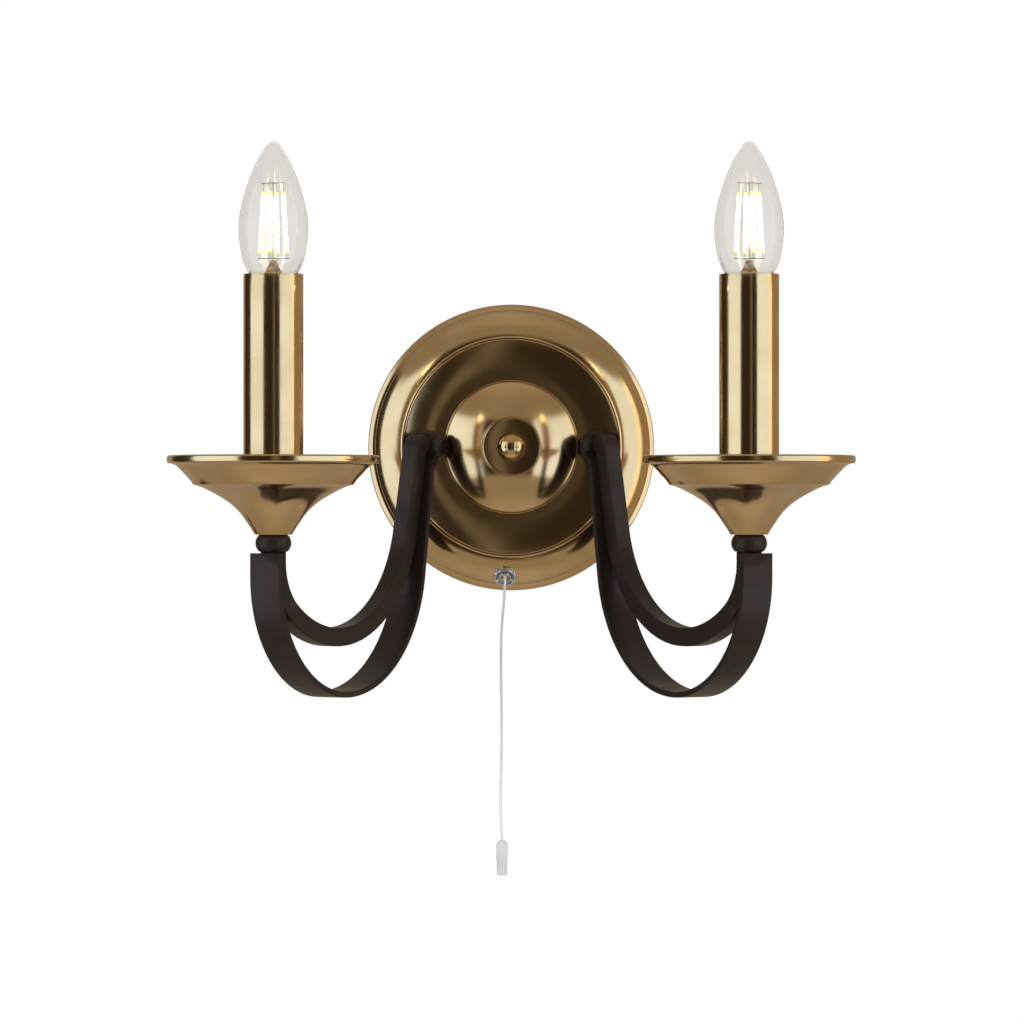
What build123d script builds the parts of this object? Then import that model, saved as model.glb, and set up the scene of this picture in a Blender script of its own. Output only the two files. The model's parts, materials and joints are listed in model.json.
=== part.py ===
from build123d import *
import math
import os

# Double arm wall sconce. Millimetres, +Z up, the wall is the plane Y = 0 and the sconce stands off
# towards -Y. The origin is on the wall, on the axis of the round backplate.

# --- backplate: a spun disc with a rolled lip, a steep rim, a rounded flange and a shallow dish ---
PLATE_RADIUS = 76.0
PLATE_WALL = 1.0
LIP_RADIUS = 1.5
RIM_FOOT_HEIGHT = 1.6
RIM_RISE = 9.0
RIM_DRAFT = 1.0
FLANGE_RADIUS = 20.5
FLANGE_FOOT_TILT = 60.0
FLANGE_CREST_TILT = 12.0
BEAD_WIDTH = 2.5
BEAD_HEIGHT = 0.8
DISH_CURVE = 60.0
DISH_WIDTH = 16.0
DISH_DROP = 0.3
CENTRE_HOLE_RADIUS = 30.0

# --- dome, dish and ball at the middle of the backplate ---
DOME_CURVE = 53.0
DOME_RIM_HEIGHT = 1.0
DOME_RADIUS = 35.3
DOME_WALL = 1.0
WASHER_RADIUS = 16.0
WASHER_HEIGHT = 2.0
WASHER_SINK = 0.9
FINIAL_RADIUS = 7.0
FINIAL_NECK_RADIUS = 4.2
FINIAL_NECK_HEIGHT = 1.6
ROD_RADIUS = 3.0
ROD_GRIP = 5.0

# --- wall bracket and what it carries ---
BRACKET_LENGTH = 96.0
BRACKET_WIDTH = 18.0
BRACKET_THICKNESS = 2.0
BRACKET_UP = 50.0
BRACKET_DOWN = 44.0
WALL_SCREW_SPACING = 50.8
WALL_SCREW_HOLE = 2.4
ROD_NUT_ACROSS = 10.0
ROD_NUT_HEIGHT = 5.0
EARTH_SCREW_PLACE = 13.0
EARTH_SCREW_RADIUS = 2.0
EARTH_HEAD_RADIUS = 3.6
EARTH_HEAD_HEIGHT = 2.4
TERMINAL_SIZE = (21.0, 12.0, 16.0)
TERMINAL_BASE = 24.0
TERMINAL_POLES = 3
TERMINAL_SCREW_RADIUS = 1.7

# --- pull switch, its cord guide and its cord ---
GUIDE_SIDE_ANGLE = 2.75
GUIDE_SEAT_TILT = 43.0
GUIDE_BORE_RADIUS = 2.5
GUIDE_WALL = 0.7
GUIDE_RING_RADIUS = 6.1
GUIDE_RING_WALL = 1.4
GUIDE_RING_TOP = 1.7
GUIDE_RECESS = 0.9
GUIDE_MOUTH = 1.8
GUIDE_INSIDE = 6.0
GUIDE_NUT_RADIUS = 6.0
GUIDE_NUT_DEPTH = 4.0
SWITCH_SIZE = (20.0, 13.0, 22.0)
SWITCH_TOP = -20.0
PLUNGER_RADIUS = 1.5
PLUNGER_OUT = 6.0
PLUNGER_IN = 10.0
PLUNGER_DEPTH = 9.0
PULL_TRAVEL = 5.0
CORD_DIAMETER = 1.4
CORD_ROUTE = [
    (-3.25, -16.5, -67.9),
    (-3.60, -16.5, -80.0),
    (-5.20, -16.3, -94.5),
    (-5.55, -16.6, -116.5),
    (-5.05, -16.7, -140.5),
    (-5.20, -16.4, -166.5),
    (-5.95, -16.5, -190.5),
    (-4.90, -16.6, -207.5),
]
WEIGHT_RADIUS = 3.1
WEIGHT_FOOT_RADIUS = 2.65
WEIGHT_LENGTH = 18.6

# --- arms: a square tube with a flat strip outside it, bent in one upright plane ---
ARM_ANGLE = 58.0
SEAT_INSET = 15.0
BALL_STANDOFF = 6.5
BALL_RADIUS = 9.0
BALL_FLAT_RADIUS = 7.1
BALL_LENGTH = 8.5
BALL_FOOT_RADIUS = 6.0
NIPPLE_RADIUS = 4.0
NIPPLE_BORE_RADIUS = 3.0
NIPPLE_GRIP = 4.0
NIPPLE_INSIDE = 15.5
FIT_GAP = 0.05
TUBE_SIZE = 9.5
TUBE_WALL = 1.2
TUBE_CORNER = 0.7
TUBE_RISE = 2.6
TUBE_NECK = 1.0
ELBOW_RADIUS = 6.5
ARM_LEAN_ANGLE = 12.5
ARM_STRAIGHT = 42.9
SWEEP_RADIUS = 68.5
SWEEP_TURN = 112.6
HOOK_RADIUS = 32.0
TUBE_DROP = 5.3
STRIP_WIDTH = 18.0
STRIP_THICKNESS = 3.0
STRIP_CORNER = 0.5
STRIP_TOP_GAP = 0.8
STRIP_DROP = 12.0
STRIP_NEAR_RADIUS = 60.5
STRIP_FAR_RADIUS = 70.9
STRIP_FAR_TURN = 81.0
STRIP_STRAIGHT = 55.0
STRIP_END_RADIUS = 11.5
STRIP_END_TURN = 20.0
FLEX_RADIUS = 1.4
FLEX_OFFSET = 1.4
SADDLE_RADIUS = 8.0
SADDLE_DEPTH = 6.8
NIPPLE_NUT_ACROSS = 13.0
NIPPLE_NUT_HEIGHT = 3.0

# --- drip cup: one spun shell with a rolled lip, an upper cove and a trumpet ---
CUP_HEIGHT = 39.6
CUP_WALL = 0.9
CUP_LIP_RADIUS = 2.0
CUP_RIM_RADIUS = 53.2
CUP_STEP_RADIUS = 40.1
CUP_STEP_DROP = 14.6
CUP_FOOT_RADIUS = 9.4
CUP_TUBE_SEAT_RISE = 10.2

# --- candle tube, lampholder and lamp ---
CANDLE_RADIUS = 15.0
CANDLE_WALL = 0.8
CANDLE_TOP = 90.7
CUP_NUT_HEIGHT = 4.0
STEM_RADIUS = 5.5
STEM_FLANGE_RADIUS = 8.0
STEM_FLANGE_HEIGHT = 1.5
CUP_NIPPLE_HEIGHT = 15.0
HOLDER_BELOW_TOP = 39.6
HOLDER_RADIUS = 12.3
HOLDER_HEIGHT = 32.0
HOLDER_BASE = 3.0
SHELL_RADIUS = 8.1
SHELL_BORE_RADIUS = 7.35
SHELL_BELOW_TOP = 1.0
SHELL_HEIGHT = 25.0
CAP_RADIUS = 6.95
CAP_LENGTH = 24.0
CAP_THREAD_PITCH = 2.82
CAP_THREAD_TURNS = 5
CAP_BELOW_TOP = 32.2
GLASS_WALL = 0.8
GLASS_NECK_RADIUS = 6.2
GLASS_RADIUS = 17.4
GLASS_HEIGHT = 74.6
GLASS_TIP_RADIUS = 4.0
GLASS_TIP_TILT = 55.0
STICK_RADIUS = 1.0
STICK_FOOT = 10.5
STICK_TOP = 41.0
STICK_FOOT_SPREAD = 6.9
STICK_TOP_SPREAD = 5.1
STICK_COUNT = 4
STICK_FIRST_TURN = 18.0
MAST_RADIUS = 0.45
WIRE_RADIUS = 0.3
TAIL_RADIUS = 0.22
WIRE_ABOVE = 4.5
WIRE_BELOW = 2.5
GLASS_STEM_RADIUS = 5.1
GLASS_STEM_TIP_RADIUS = 1.9
GLASS_STEM_TOP = 7.0

ON_WALL = Rot(180, 0, 0)
UPRIGHT = Rot(90, 0, 0)
ALONG_ARM = Rot(0, 0, -90)


def sine(degrees):
    return math.sin(math.radians(degrees))


def cosine(degrees):
    return math.cos(math.radians(degrees))


def turned(outline):
    """A solid of revolution about +Y: the outline's X is the radius, its Y the height."""
    return revolve(make_face(outline), Axis.Y)


def ring(inner, outer, bottom, top):
    """A plain turned ring, or a disc where the inner radius is nought."""
    corners = [(inner, bottom), (outer, bottom), (outer, top), (inner, top)]
    return turned(Polyline(corners, close=True))


def inner_line(edge, wall, points=9):
    """A smooth line at one wall's distance to the left of an outline edge."""
    places = []
    for step in range(points):
        share = step / (points - 1)
        tangent = edge % share
        places.append(edge @ share + Vector(-tangent.Y, tangent.X) * wall)
    return Spline(places)


def hexagon(across, bottom, top, bore):
    """A hexagon nut about +Y."""
    blank = extrude(RegularPolygon(across / 2, 6, major_radius=False), top - bottom)
    blank = Pos(0, top, 0) * Rot(90, 0, 0) * blank
    return blank - ring(0, bore, bottom - 1, top + 1)


# ---------------------------------------------------------------- backplate and its middle

def flange_point(tilt, inset=0.0):
    """A point of the flange's arc, where the surface leans `tilt` degrees from the wall."""
    foot_radius = PLATE_RADIUS - 2 * LIP_RADIUS - RIM_DRAFT
    foot_height = RIM_FOOT_HEIGHT + RIM_RISE
    centre_radius = foot_radius - FLANGE_RADIUS * sine(FLANGE_FOOT_TILT)
    centre_height = foot_height - FLANGE_RADIUS * cosine(FLANGE_FOOT_TILT)
    radius = FLANGE_RADIUS - inset
    return (centre_radius + radius * sine(tilt), centre_height + radius * cosine(tilt))


def dish_edge():
    """Where the shallow dish begins, inside the bead."""
    crest = flange_point(FLANGE_CREST_TILT)
    return (crest[0] - BEAD_WIDTH, crest[1] - DISH_DROP)


def dish_point(radius, inset=0.0):
    """A point of the dish: level in its middle, curving up towards the bead."""
    edge = dish_edge()
    level_radius = edge[0] - DISH_WIDTH
    fall = math.sqrt(DISH_CURVE ** 2 - DISH_WIDTH ** 2)
    out = max(radius - level_radius, 0.0)
    height = edge[1] + fall - math.sqrt(DISH_CURVE ** 2 - out ** 2)
    return (radius, height - inset)


def plate_front():
    """The front of the backplate, from its rim on the wall inwards to the level floor of the dish."""
    rim = (PLATE_RADIUS - 2 * LIP_RADIUS, RIM_FOOT_HEIGHT)
    lip = (PLATE_RADIUS - LIP_RADIUS, RIM_FOOT_HEIGHT + LIP_RADIUS)
    foot = flange_point(FLANGE_FOOT_TILT)
    half_flange = flange_point((FLANGE_FOOT_TILT + FLANGE_CREST_TILT) / 2)
    crest = flange_point(FLANGE_CREST_TILT)
    edge = dish_edge()
    bead = ((crest[0] + edge[0]) / 2, crest[1] + BEAD_HEIGHT)
    half_dish = dish_point(edge[0] - DISH_WIDTH / 2)
    floor = dish_point(edge[0] - DISH_WIDTH)
    return [
        Line((PLATE_RADIUS, 0), (PLATE_RADIUS, RIM_FOOT_HEIGHT)),
        ThreePointArc((PLATE_RADIUS, RIM_FOOT_HEIGHT), lip, rim),
        Line(rim, foot),
        ThreePointArc(foot, half_flange, crest),
        ThreePointArc(crest, bead, edge),
        ThreePointArc(edge, half_dish, floor),
    ]


def floor_height():
    """Height of the dish's level floor over the wall."""
    return dish_point(0.0)[1]


def plate_shell():
    """The spun disc before its holes."""
    edge_radius = dish_edge()[0]
    level = edge_radius - DISH_WIDTH
    back_foot = flange_point(FLANGE_FOOT_TILT, PLATE_WALL)
    back_flange = flange_point((FLANGE_FOOT_TILT + FLANGE_CREST_TILT) / 2, PLATE_WALL)
    back_crest = flange_point(FLANGE_CREST_TILT, PLATE_WALL)
    back_edge = dish_point(edge_radius, PLATE_WALL)
    back_half = dish_point(edge_radius - DISH_WIDTH / 2, PLATE_WALL)
    back_floor = dish_point(level, PLATE_WALL)
    hole_front = dish_point(CENTRE_HOLE_RADIUS)
    hole_back = dish_point(CENTRE_HOLE_RADIUS, PLATE_WALL)
    rim = PLATE_RADIUS - 2 * LIP_RADIUS - PLATE_WALL
    edges = plate_front()
    edges.append(Polyline(edges[-1] @ 1, hole_front, hole_back, back_floor))
    edges.append(ThreePointArc(back_floor, back_half, back_edge))
    edges.append(Line(back_edge, back_crest))
    edges.append(ThreePointArc(back_crest, back_flange, back_foot))
    edges.append(Polyline(back_foot, (rim, RIM_FOOT_HEIGHT), (rim, 0), (PLATE_RADIUS, 0)))
    return ON_WALL * turned(edges)


def backplate():
    arm_hole = at_arm() * ALONG_ARM * ring(0, NIPPLE_RADIUS + 2 * FIT_GAP, -4 * BALL_STANDOFF, 0)
    guide_hole = at_guide() * ring(0, guide_stem_radius() + 2 * FIT_GAP, -2 * GUIDE_INSIDE, GUIDE_INSIDE)
    return plate_shell() - arm_hole - mirror(arm_hole, about=Plane.YZ) - guide_hole


def plate_filled():
    """Everything behind the plate's front, used to trim what sits on it."""
    edges = plate_front()
    edges.append(Polyline(edges[-1] @ 1, dish_point(0.0), (0, 0), (PLATE_RADIUS, 0)))
    return ON_WALL * turned(edges)


def dome_height(radius):
    """Height of the dome's outside above its rim."""
    return math.sqrt(DOME_CURVE ** 2 - radius ** 2) - math.sqrt(DOME_CURVE ** 2 - DOME_RADIUS ** 2)


def dome_top():
    """Height of the dome's flat top over the wall."""
    return floor_height() + DOME_RIM_HEIGHT + dome_height(WASHER_RADIUS - 1.0)


def centre_dome():
    rim = DOME_RADIUS
    base = floor_height()
    shoulder = base + DOME_RIM_HEIGHT
    flat = WASHER_RADIUS - 1.0
    half = (rim + flat) / 2
    bore = ROD_RADIUS + 4 * FIT_GAP
    outside = ThreePointArc((rim, shoulder), (half, shoulder + dome_height(half)), (flat, dome_top()))
    inside = inner_line(outside, DOME_WALL)
    edges = [
        Line((rim, base), (rim, shoulder)),
        outside,
        Polyline((flat, dome_top()), (bore, dome_top()), (bore, dome_top() - DOME_WALL), inside @ 1),
        inside,
        Polyline(inside @ 0, (rim - DOME_WALL, base), (rim, base)),
    ]
    return ON_WALL * turned(edges)


def finial_dish():
    """A shallow turned dish between the dome and the finial."""
    base = dome_top()
    rim = base + WASHER_HEIGHT
    floor = rim - WASHER_SINK
    bore = ROD_RADIUS + 4 * FIT_GAP
    neck = FINIAL_NECK_RADIUS + 0.6
    edges = [
        Polyline((bore, base), (WASHER_RADIUS - 3.0, base), (WASHER_RADIUS - 0.4, rim - 0.8)),
        ThreePointArc((WASHER_RADIUS - 0.4, rim - 0.8), (WASHER_RADIUS, rim - 0.3),
                      (WASHER_RADIUS - 0.5, rim)),
        ThreePointArc((WASHER_RADIUS - 0.5, rim), ((WASHER_RADIUS + neck) / 2, floor + 0.25), (neck, floor)),
        Polyline((neck, floor), (bore, floor), (bore, base)),
    ]
    return ON_WALL * turned(edges)


def finial_base():
    return dome_top() + WASHER_HEIGHT - WASHER_SINK


def finial_ball():
    base = finial_base()
    waist = base + FINIAL_NECK_HEIGHT
    centre = waist + math.sqrt(FINIAL_RADIUS ** 2 - FINIAL_NECK_RADIUS ** 2)
    ball = Pos(0, centre, 0) * Sphere(FINIAL_RADIUS)
    neck = ring(0, FINIAL_NECK_RADIUS, base, centre)
    bore = ring(0, ROD_RADIUS + FIT_GAP, base - 1, base + ROD_GRIP + 1.0)
    return ON_WALL * (ball + neck - bore)


def centre_rod():
    return ON_WALL * ring(0, ROD_RADIUS, 0.3, finial_base() + ROD_GRIP)


# ---------------------------------------------------------------- wall bracket and its fittings

def on_bracket(x, z):
    """Places a piece modelled about +Y so that it stands off the wall at x, z."""
    return Pos(x, 0, z) * ON_WALL


def wall_bracket():
    mid = -BRACKET_THICKNESS / 2
    height = BRACKET_UP + BRACKET_DOWN
    across = Pos(0, mid, 0) * Box(BRACKET_LENGTH, BRACKET_THICKNESS, BRACKET_WIDTH)
    along = Pos(0, mid, (BRACKET_UP - BRACKET_DOWN) / 2) * Box(BRACKET_WIDTH, BRACKET_THICKNESS, height)
    plate = across + along
    plate = fillet(plate.edges().filter_by(Axis.Y), BRACKET_WIDTH / 6)
    hole = ring(0, WALL_SCREW_HOLE, -1, BRACKET_THICKNESS + 1)
    for side in (-1, 1):
        plate -= on_bracket(side * WALL_SCREW_SPACING / 2, 0) * hole
    plate -= on_bracket(0, 0) * ring(0, ROD_RADIUS + 2 * FIT_GAP, -1, BRACKET_THICKNESS + 1)
    earth_hole = ring(0, EARTH_SCREW_RADIUS + FIT_GAP, -1, BRACKET_THICKNESS + 1)
    plate -= on_bracket(-EARTH_SCREW_PLACE, 0) * earth_hole
    return plate


def rod_nut():
    top = BRACKET_THICKNESS + ROD_NUT_HEIGHT
    return ON_WALL * hexagon(ROD_NUT_ACROSS, BRACKET_THICKNESS, top, ROD_RADIUS + FIT_GAP)


def earth_screw():
    head_top = BRACKET_THICKNESS + EARTH_HEAD_HEIGHT
    head = ring(0, EARTH_HEAD_RADIUS, BRACKET_THICKNESS, head_top)
    shank = ring(0, EARTH_SCREW_RADIUS, 0.3, BRACKET_THICKNESS)
    slot = Pos(0, head_top, 0) * Box(2 * EARTH_HEAD_RADIUS, 1.2, 0.9)
    return on_bracket(-EARTH_SCREW_PLACE, 0) * (head + shank - slot)


def terminal_place(pole, level):
    """Places one terminal screw: its pole across the block, its level up or down."""
    pitch = TERMINAL_SIZE[0] / TERMINAL_POLES
    x = (pole - (TERMINAL_POLES - 1) / 2) * pitch
    z = TERMINAL_BASE + TERMINAL_SIZE[2] * (0.5 + 0.28 * level)
    return on_bracket(x, z)


def terminal_block():
    width, depth, height = TERMINAL_SIZE
    front = BRACKET_THICKNESS + depth
    block = Pos(0, -BRACKET_THICKNESS - depth / 2, TERMINAL_BASE + height / 2) * Box(width, depth, height)
    block = fillet(block.edges().filter_by(Axis.Z), 0.8)
    well = ring(0, TERMINAL_SCREW_RADIUS + 0.2, front - 4.0, front + 1)
    for pole in range(TERMINAL_POLES):
        for level in (-1, 1):
            block -= terminal_place(pole, level) * well
        wire_way = Cylinder(1.6, height + 2)
        x = (pole - (TERMINAL_POLES - 1) / 2) * width / TERMINAL_POLES
        block -= Pos(x, -BRACKET_THICKNESS - 4.5, TERMINAL_BASE + height / 2) * wire_way
    return block


def terminal_screws():
    front = BRACKET_THICKNESS + TERMINAL_SIZE[1]
    screw = ring(0, TERMINAL_SCREW_RADIUS, front - 4.0, front - 1.2)
    slot = Pos(0, front - 1.2, 0) * Box(2 * TERMINAL_SCREW_RADIUS + 1, 1.0, 0.6)
    places = [(pole, level) for pole in range(TERMINAL_POLES) for level in (-1, 1)]
    return Compound([terminal_place(pole, level) * (screw - slot) for pole, level in places])


# ---------------------------------------------------------------- pull switch

def at_guide():
    """Places a piece modelled about +Y on the cord guide's axis, its seat on the flange at Y = 0."""
    seat = flange_point(GUIDE_SEAT_TILT)
    swing = Rot(0, GUIDE_SIDE_ANGLE, 0)
    return swing * Pos(0, -seat[1], -seat[0]) * Rot(180 + GUIDE_SEAT_TILT, 0, 0)


def guide_stem_radius():
    return GUIDE_BORE_RADIUS + GUIDE_WALL


def cord_guide():
    """Bright ferrule on the flange: a short tube through the plate, its mouth rolled round."""
    lip = GUIDE_WALL / 2
    outer = guide_stem_radius()
    edges = [
        Polyline((GUIDE_BORE_RADIUS, GUIDE_MOUTH - lip), (GUIDE_BORE_RADIUS, -GUIDE_INSIDE),
                 (outer, -GUIDE_INSIDE), (outer, GUIDE_MOUTH - lip)),
        ThreePointArc((outer, GUIDE_MOUTH - lip), (outer - lip, GUIDE_MOUTH),
                      (GUIDE_BORE_RADIUS, GUIDE_MOUTH - lip)),
    ]
    return at_guide() * turned(edges)


def guide_ring():
    """The ring outside the flange: recessed round the ferrule and cut underneath to the flange's curve."""
    bore = guide_stem_radius() + FIT_GAP
    recess = GUIDE_RING_RADIUS - GUIDE_RING_WALL
    floor = GUIDE_RING_TOP - GUIDE_RECESS
    low = -GUIDE_NUT_DEPTH
    round_off = GUIDE_RING_WALL / 2
    edges = [
        Polyline((recess, GUIDE_RING_TOP - round_off), (recess, floor), (bore, floor), (bore, low),
                 (GUIDE_RING_RADIUS, low), (GUIDE_RING_RADIUS, GUIDE_RING_TOP - round_off)),
        ThreePointArc((GUIDE_RING_RADIUS, GUIDE_RING_TOP - round_off),
                      (GUIDE_RING_RADIUS - round_off, GUIDE_RING_TOP),
                      (recess, GUIDE_RING_TOP - round_off)),
    ]
    return at_guide() * turned(edges) - plate_filled()


def guide_nut():
    """The nut behind the flange, cut to the flange's inside."""
    body = ring(guide_stem_radius() + FIT_GAP, GUIDE_NUT_RADIUS, -GUIDE_NUT_DEPTH, GUIDE_NUT_DEPTH)
    body = at_guide() * body - plate_shell()
    return body.solids().sort_by(Axis.Y)[-1]


def switch_centre():
    return SWITCH_TOP - SWITCH_SIZE[2] / 2


def switch_body():
    """The pull switch, seated on the bracket's lower leg."""
    width, depth, height = SWITCH_SIZE
    body = Pos(0, -BRACKET_THICKNESS - depth / 2, switch_centre()) * Box(width, depth, height)
    body = fillet(body.edges().filter_by(Axis.Z), 1.5)
    bore_depth = PLUNGER_IN + PULL_TRAVEL
    bore = Pos(0, -PLUNGER_DEPTH, SWITCH_TOP - height + bore_depth / 2 - 1) * Cylinder(
        PLUNGER_RADIUS + 0.3, bore_depth + 2)
    return body - bore


def switch_plunger():
    """The plunger that the cord pulls, with an eye at its foot."""
    foot = SWITCH_TOP - SWITCH_SIZE[2]
    length = PLUNGER_IN + PLUNGER_OUT
    rod = Pos(0, -PLUNGER_DEPTH, foot - PLUNGER_OUT + length / 2) * Cylinder(PLUNGER_RADIUS, length)
    eye = Pos(0, -PLUNGER_DEPTH, foot - PLUNGER_OUT + 2.0) * Rot(90, 0, 0) * Cylinder(0.8, 4)
    return rod - eye


def cord_radii(points):
    """Each corner's arc radius: as large as the two runs beside it allow."""
    radii = []
    for before, corner, after in zip(points, points[1:], points[2:]):
        first = Vector(corner) - Vector(before)
        second = Vector(after) - Vector(corner)
        half_turn = math.radians(first.get_angle(second)) / 2
        radii.append(0.45 * min(first.length, second.length) / math.tan(half_turn))
    return radii


def pull_cord():
    radii = cord_radii(CORD_ROUTE)
    print("cord radii", [round(radius) for radius in radii])
    path = FilletPolyline(*CORD_ROUTE, radius=radii)
    start = Plane(origin=path @ 0, z_dir=path % 0)
    cord = sweep(start * Circle(CORD_DIAMETER / 2), path=path)
    plain = math.pi * (CORD_DIAMETER / 2) ** 2 * path.length
    print("cord length", round(path.length, 1), "volume ratio", round(cord.volume / plain, 4))
    return cord


def pull_weight():
    """The moulded weight on the end of the cord: domed top, slight taper."""
    top = CORD_ROUTE[-1]
    shoulder = -WEIGHT_RADIUS
    edges = [
        ThreePointArc((0, 0), (0.72 * WEIGHT_RADIUS, 0.3 * shoulder), (WEIGHT_RADIUS, shoulder)),
        Polyline((WEIGHT_RADIUS, shoulder), (WEIGHT_FOOT_RADIUS, 0.6 - WEIGHT_LENGTH),
                 (WEIGHT_FOOT_RADIUS - 0.5, -WEIGHT_LENGTH), (0, -WEIGHT_LENGTH), (0, 0)),
    ]
    return Pos(*top) * UPRIGHT * turned(edges)


# ---------------------------------------------------------------- arms

def at_arm():
    """Places a piece modelled about the wall ball: +X outwards along the arm, +Z up."""
    seat = dish_point(dish_edge()[0] - SEAT_INSET)
    x = seat[0] + BALL_STANDOFF * cosine(ARM_ANGLE)
    y = -(seat[1] + BALL_STANDOFF * sine(ARM_ANGLE))
    return Pos(x, y, 0) * Rot(0, 0, -ARM_ANGLE)


def arm_route(offset):
    """The tube's line from the wall ball to the cup, `offset` towards the outside of the U."""
    neck = Line((BALL_LENGTH / 2, TUBE_RISE - offset), (BALL_LENGTH / 2 + TUBE_NECK, TUBE_RISE - offset))
    elbow = JernArc(neck @ 1, neck % 1, ELBOW_RADIUS - offset, ARM_LEAN_ANGLE - 90)
    straight = Line(elbow @ 1, elbow @ 1 + ARM_STRAIGHT * (elbow % 1))
    bend = JernArc(straight @ 1, straight % 1, SWEEP_RADIUS + offset, SWEEP_TURN)
    hook = JernArc(bend @ 1, bend % 1, HOOK_RADIUS + offset, 180 - ARM_LEAN_ANGLE - SWEEP_TURN)
    rise = Line(hook @ 1, hook @ 1 + TUBE_DROP * (hook % 1))
    return [neck, elbow, straight, bend, hook, rise]


ARM_END = arm_route(0.0)[-1] @ 1
REACH = ARM_END.X
CUP_BALL_BASE = ARM_END.Y
CUP_BASE = CUP_BALL_BASE + BALL_LENGTH
CUP_RIM = CUP_BASE + CUP_HEIGHT
CANDLE_TOP_Z = CUP_RIM + CANDLE_TOP


def at_cup():
    """Places a piece modelled on the cup's upright axis, at its real height."""
    return at_arm() * Pos(REACH, 0, 0) * UPRIGHT


def swept(section, edges):
    """Sweeps a section along flat edges, which then stand upright along the arm."""
    path = Wire(edges)
    start = Plane(origin=path @ 0, x_dir=(0, 0, 1), z_dir=path % 0)
    return Rot(90, 0, 0) * sweep(start * section, path=path)


def arm_solid(size, corner):
    return swept(RectangleRounded(size, size, corner), arm_route(0.0))


def arm_tube():
    inner = TUBE_SIZE - 2 * TUBE_WALL
    return arm_solid(TUBE_SIZE, TUBE_CORNER) - arm_solid(inner, TUBE_CORNER / 2)


def strip_route():
    """The flat strip's middle line, from under the cup ball round to the wall ball."""
    x = REACH + TUBE_SIZE / 2 + STRIP_THICKNESS / 2
    top = Vector(x, CUP_BALL_BASE - STRIP_TOP_GAP)
    drop = Line(top, top - Vector(0, STRIP_DROP))
    near = JernArc(drop @ 1, drop % 1, STRIP_NEAR_RADIUS, -90)
    far = JernArc(near @ 1, near % 1, STRIP_FAR_RADIUS, -STRIP_FAR_TURN)
    straight = Line(far @ 1, far @ 1 + STRIP_STRAIGHT * (far % 1))
    turn = JernArc(straight @ 1, straight % 1, STRIP_END_RADIUS, STRIP_END_TURN)
    run = (BALL_LENGTH / 2 - (turn @ 1).X - STRIP_THICKNESS) / (turn % 1).X
    last = Line(turn @ 1, turn @ 1 + run * (turn % 1))
    return [drop, near, far, straight, turn, last]


def arm_strip():
    strip = swept(RectangleRounded(STRIP_WIDTH, STRIP_THICKNESS, STRIP_CORNER), strip_route())
    beyond = 4 * BALL_LENGTH
    strip -= Pos(BALL_LENGTH / 2 - beyond / 2, 0, 0) * Box(beyond, 4 * BALL_RADIUS, 8 * BALL_RADIUS)
    strip -= arm_solid(TUBE_SIZE, TUBE_CORNER)
    return strip.solids().sort_by(SortBy.VOLUME)[-1]


def ball_blank():
    """The oblate ball that ends each arm, about +Y, before its bores."""
    half = BALL_LENGTH / 2
    edges = [
        Line((0, -half), (BALL_FLAT_RADIUS, -half)),
        ThreePointArc((BALL_FLAT_RADIUS, -half), (BALL_RADIUS, 0), (BALL_FLAT_RADIUS, half)),
        Polyline((BALL_FLAT_RADIUS, half), (0, half), (0, -half)),
    ]
    return turned(edges)


def wall_ball():
    """The ball on the backplate, with a foot cut to the dish; placed on the plate."""
    half = BALL_LENGTH / 2
    blank = ball_blank() + ring(0, BALL_FOOT_RADIUS, -half - 2 * BALL_STANDOFF, -half)
    blank -= ring(0, NIPPLE_RADIUS + FIT_GAP, -4 * BALL_STANDOFF, NIPPLE_GRIP - half)
    blank -= ring(0, NIPPLE_BORE_RADIUS, -half, half + 1)
    placed = at_arm() * ALONG_ARM * blank
    trimmed = placed - plate_filled() - centre_dome()
    return trimmed.solids().sort_by(SortBy.VOLUME)[-1]


def arm_nipple():
    start = -BALL_STANDOFF - NIPPLE_INSIDE + BALL_LENGTH
    return ALONG_ARM * ring(NIPPLE_BORE_RADIUS, NIPPLE_RADIUS, start, NIPPLE_GRIP - BALL_LENGTH / 2)


def saddle_washer():
    """A thick washer behind the dish, cut to its curve; placed on the plate."""
    body = ring(NIPPLE_RADIUS + 2 * FIT_GAP, SADDLE_RADIUS, -BALL_STANDOFF - SADDLE_DEPTH, -1.0)
    body = at_arm() * ALONG_ARM * body
    behind = body - plate_shell() - centre_dome()
    return behind.solids().sort_by(Axis.Y)[-1]


def arm_locknut():
    top = -BALL_STANDOFF - SADDLE_DEPTH
    return ALONG_ARM * hexagon(NIPPLE_NUT_ACROSS, top - NIPPLE_NUT_HEIGHT, top, NIPPLE_RADIUS + FIT_GAP)


def arm_flex():
    """The twin cable inside the arm, from behind the plate up to the lampholder."""
    edges = arm_route(FLEX_OFFSET)
    lead = Line((-BALL_STANDOFF - NIPPLE_INSIDE, TUBE_RISE - FLEX_OFFSET), edges[0] @ 1)
    top = CANDLE_TOP_Z - HOLDER_BELOW_TOP - 1.0
    tail = Line(edges[-1] @ 0, Vector((edges[-1] @ 0).X, top))
    return swept(Circle(FLEX_RADIUS), [lead] + edges[1:-1] + [tail])


def cup_ball():
    blank = ball_blank()
    half = BALL_LENGTH / 2
    blank -= ring(0, NIPPLE_RADIUS + FIT_GAP, half - NIPPLE_GRIP, half + 1)
    blank -= ring(0, NIPPLE_BORE_RADIUS, -half - 1, half)
    return Pos(0, CUP_BALL_BASE + half, 0) * blank


def cup_nipple():
    return ring(NIPPLE_BORE_RADIUS, NIPPLE_RADIUS, CUP_BASE - NIPPLE_GRIP, CUP_BASE + CUP_NIPPLE_HEIGHT)


# ---------------------------------------------------------------- drip cup and candle

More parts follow.
